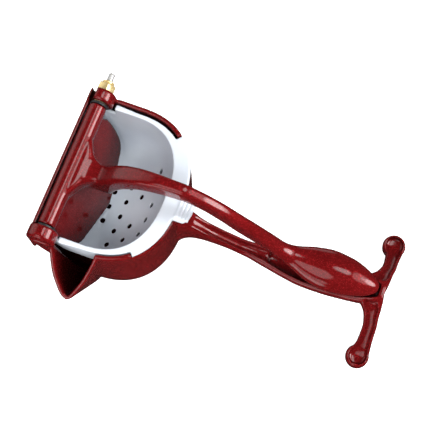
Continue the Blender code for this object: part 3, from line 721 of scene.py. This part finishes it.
def enamel(name):
    """Deep red gloss enamel: metal flake in the base coat, painted highlight on sharp edges, painted shade
    in recesses, under a clear coat with faint orange peel."""
    mat, tree, shader = material(name, Metallic=0.3, Specular_IOR_Level=0.0, Coat_Weight=1.0,
                                 Coat_Roughness=0.04, Coat_IOR=1.38)
    spot = put(tree, "TexCoord").outputs["Object"]
    shape = put(tree, "NewGeometry")
    flake = put(tree, "TexVoronoi", {"feature": "F1"}, Vector=spot, Scale=FLAKE_SCALE)
    tint = put(tree, "SeparateColor", None, Color=flake.outputs["Color"])
    broad = noise(tree, spot, 28.0, 3.0)
    peel = noise(tree, spot, 420.0, 1.0)
    base = mixed(tree, mapped(tree, broad, 0.3, 0.7, 0.0, 1.0), ENAMEL_DEEP, ENAMEL_LIGHT)
    base = mixed(tree, mapped(tree, tint.outputs[0], 0.8, 1.0, 0.0, 0.8), base, FLAKE_BRIGHT)
    base = mixed(tree, mapped(tree, tint.outputs[2], 0.75, 1.0, 0.0, 0.5), base, FLAKE_DARK)
    # painted highlight: sharp edges lightened towards a pale red
    base = mixed(tree, mapped(tree, shape.outputs["Pointiness"], 0.56, 0.66, 0.0, 0.35), base, ENAMEL_EDGE_HIGHLIGHT)
    # painted shade: recesses and cavities darkened towards near black by occlusion
    ao_for_painted_shade = put(tree, "AmbientOcclusion", {"samples": 6}, Distance=0.04).outputs["AO"]
    base = mixed(tree, mapped(tree, ao_for_painted_shade, 0.25, 0.7, 0.93, 0.0), base, ENAMEL_RECESS_SHADE)
    tree.links.new(base, shader.inputs["Base Color"])
    tree.links.new(mapped(tree, tint.outputs[1], 0.0, 1.0, 0.3, 0.5), shader.inputs["Roughness"])
    tilt = put(tree, "VectorMath", {"operation": "SUBTRACT"}, s0=flake.outputs["Color"], s1=(0.5, 0.5, 0.5))
    tilt = put(tree, "VectorMath", {"operation": "SCALE"}, s0=tilt.outputs[0], Scale=FLAKE_TILT)
    tilt = put(tree, "VectorMath", {"operation": "ADD"}, s0=tilt.outputs[0], s1=shape.outputs["Normal"])
    tilt = put(tree, "VectorMath", {"operation": "NORMALIZE"}, s0=tilt.outputs[0])
    tree.links.new(tilt.outputs[0], shader.inputs["Normal"])
    tree.links.new(bumped(tree, peel, 0.25, 0.00006), shader.inputs["Coat Normal"])
    return mat


def satin_alloy():
    """Tumbled die-cast alloy: soft sheen, fine grain, faint mottling, painted highlight on edges and painted
    shade in the holes.
    """
    mat, tree, shader = material("satin_alloy_surface", Metallic=0.25)
    spot = put(tree, "TexCoord").outputs["Object"]
    shape = put(tree, "NewGeometry")
    grain = noise(tree, spot, 1500.0, 2.0)
    broad = noise(tree, spot, 45.0, 4.0)
    base = mixed(tree, mapped(tree, broad, 0.3, 0.7, 0.0, 1.0), ALLOY_DEEP, ALLOY_LIGHT)
    # painted highlight: edges lightened towards near white
    base = mixed(tree, mapped(tree, shape.outputs["Pointiness"], 0.53, 0.62, 0.0, 0.6), base, ALLOY_EDGE_HIGHLIGHT)
    # painted shade: hole walls and tight recesses darkened towards near black by local occlusion
    ao_for_painted_shade = put(tree, "AmbientOcclusion", {"samples": 8, "only_local": True}, Distance=0.004).outputs["AO"]
    base = mixed(tree, mapped(tree, ao_for_painted_shade, 0.55, 0.85, 1.0, 0.0), base, ALLOY_HOLE_SHADE)
    tree.links.new(base, shader.inputs["Base Color"])
    tree.links.new(mapped(tree, grain, 0.25, 0.75, 0.36, 0.52), shader.inputs["Roughness"])
    tree.links.new(bumped(tree, grain, 0.25, 0.00005), shader.inputs["Normal"])
    return mat


def turned_metal(name, colour, bright, roughness):
    """Lathe-turned metal: rings round the hinge direction in its roughness and bump."""
    mat, tree, shader = material(name, Metallic=0.6)
    spot = put(tree, "TexCoord").outputs["Object"]
    rings = put(tree, "Mapping", None, Vector=spot, Scale=(60.0, 5200.0, 60.0)).outputs[0]
    marks = noise(tree, rings, 1.0, 2.0)
    spots = noise(tree, spot, 420.0, 3.0)
    base = mixed(tree, mapped(tree, spots, 0.35, 0.7, 0.0, 1.0), colour, bright)
    tree.links.new(base, shader.inputs["Base Color"])
    tree.links.new(mapped(tree, marks, 0.3, 0.7, roughness - 0.06, roughness + 0.08),
                   shader.inputs["Roughness"])
    tree.links.new(bumped(tree, marks, 0.3, 0.00003), shader.inputs["Normal"])
    return mat


def nylon(name):
    """Black nylon with a fine moulded grain."""
    mat, tree, shader = material(name)
    grain = noise(tree, put(tree, "TexCoord").outputs["Object"], 1800.0, 2.0)
    tree.links.new(mixed(tree, grain, NYLON_DEEP, NYLON_LIGHT), shader.inputs["Base Color"])
    tree.links.new(mapped(tree, grain, 0.2, 0.8, 0.42, 0.6), shader.inputs["Roughness"])
    tree.links.new(bumped(tree, grain, 0.3, 0.00004), shader.inputs["Normal"])
    return mat


def dress(ob, mat, smooth_angle=None):
    """Gives the object its material; all smooth, or with edges sharper than an angle kept."""
    ob.data.materials.clear()
    ob.data.materials.append(mat)
    if smooth_angle is None:
        ob.data.shade_smooth()
    else:
        ob.data.set_sharp_from_angle(angle=math.radians(smooth_angle))
    return ob


# ---------------------------------------------------------------- the pieces
def place(piece, body, node):
    """Puts the piece on its body and hides the node it stands for."""
    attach(piece, body)
    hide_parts(node)


place(dress(make_body(), enamel("red_enamel_body")), "frame", "body_casting")
place(dress(make_lever(), enamel("red_enamel_arm")), "lever", "lever_casting")
place(dress(make_strainer(), satin_alloy()), "frame", "strainer_basket")
place(dress(make_pin(), turned_metal("steel_surface", STEEL_DEEP, STEEL_LIGHT, 0.2), 30),
      "pin", "hinge_pin")
place(dress(make_nut(), turned_metal("brass_surface", BRASS_DEEP, BRASS_LIGHT, 0.22), 30),
      "nut", "brass_nut")
for node in ("thrust_washer_near", "thrust_washer_far"):
    dress(frame["nodes"][node], nylon(node + "_surface"), 30)


# ---------------------------------------------------------------- floor, light and camera
FLOOR_HALF = 3.0           # metres
WHITE = (1, 1, 1, 1)


def floor():
    """Pale paper under the press, out of sight of its reflections."""
    corners = [(x * FLOOR_HALF, y * FLOOR_HALF, 0) for x, y in ((-1, -1), (1, -1), (1, 1), (-1, 1))]
    ob = mesh_object("floor", corners, [(0, 1, 2, 3)])
    mat = material("floor_paper", Base_Color=(0.9, 0.9, 0.9, 1), Roughness=0.9, Emission_Color=WHITE,
                   Emission_Strength=0.8)[0]
    ob.data.materials.append(mat)
    ob.visible_glossy = False


def direction(azimuth, elevation):
    """Unit vector; azimuth from +X towards +Y."""
    az, el = math.radians(azimuth), math.radians(elevation)
    return math.cos(az) * math.cos(el), math.sin(az) * math.cos(el), math.sin(el)


# soft round patches of light in degrees: azimuth, elevation, radius of full strength, radius where
# it ends; then its strength
GLOWS = [(20, 42, 15, 22, 2.7), (17, 31, 9, 17, 12.0), (56, 70, 6, 11, 6.5),
         (164, 20, 12, 36, 1.3), (240, 62, 15, 21, 2.8), (262, 24, 5, 12, 2.4), (255, 0, 8, 18, 4.0),
         (104, -4, 6, 16, 1.0)]
AMBIENT = 0.02
PRESS_MIDDLE = (60.0, 0.0, -30.0)


def softbox(name, azimuth, elevation, distance, side, strength):
    """Square area light facing the middle of the press, kept out of reflections."""
    data = bpy.data.lights.new(name, "AREA")
    data.shape, data.size, data.energy = "SQUARE", side, strength
    ob = link(name, data)
    way = Vector(direction(azimuth, elevation))
    ob.location = at(*PRESS_MIDDLE) + way * distance
    ob.rotation_euler = way.to_track_quat("Z", "Y").to_euler()
    ob.visible_glossy = False


VIEW_AZIMUTH, VIEW_ELEVATION, VIEW_ROLL = 27.9, 71.956, -7.739
VIEW_AIM, VIEW_DISTANCE, LENS = (89.1, 8.1, -30.0), 0.6853, 90.88


def camera():
    """Camera above the near side, turned a little about its own axis."""
    data = bpy.data.cameras.new("camera")
    data.sensor_width, data.lens = 36.0, LENS
    ob = link("camera", data)
    az, el, roll = map(math.radians, (VIEW_AZIMUTH, VIEW_ELEVATION, VIEW_ROLL))
    ahead = Vector((-math.sin(az) * math.cos(el), math.cos(az) * math.cos(el), -math.sin(el)))
    level = ahead.cross(Vector((0, 0, 1))).normalized()
    right = math.cos(roll) * level + math.sin(roll) * level.cross(ahead)
    up = right.cross(ahead)
    ob.matrix_world = Matrix.Translation(at(*VIEW_AIM) - ahead * VIEW_DISTANCE) @ \
        Matrix((right, up, -ahead)).transposed().to_4x4()
    bpy.context.scene.camera = ob


def surroundings():
    """Dim studio with the soft patches of light in it."""
    world = bpy.data.worlds.new("studio")
    bpy.context.scene.world = world
    world.use_nodes = True
    tree = world.node_tree
    way = put(tree, "TexCoord").outputs["Generated"]
    total = AMBIENT
    for azimuth, elevation, core, edge, level in GLOWS:
        facing = put(tree, "VectorMath", {"operation": "DOT_PRODUCT"}, s0=way,
                     s1=direction(azimuth, elevation)).outputs["Value"]
        glow = put(tree, "MapRange", {"interpolation_type": "SMOOTHSTEP"}, Value=facing,
                   From_Min=math.cos(math.radians(edge)), From_Max=math.cos(math.radians(core)),
                   To_Min=0.0, To_Max=level).outputs[0]
        total = put(tree, "Math", {"operation": "ADD"}, s0=total, s1=glow).outputs[0]
    tree.nodes["Background"].inputs["Color"].default_value = WHITE
    tree.links.new(total, tree.nodes["Background"].inputs["Strength"])
    bpy.context.scene.view_settings.view_transform = "Standard"


floor()
camera()
surroundings()
softbox("softbox", 300, 55, 1.2, 0.7, 12.0)
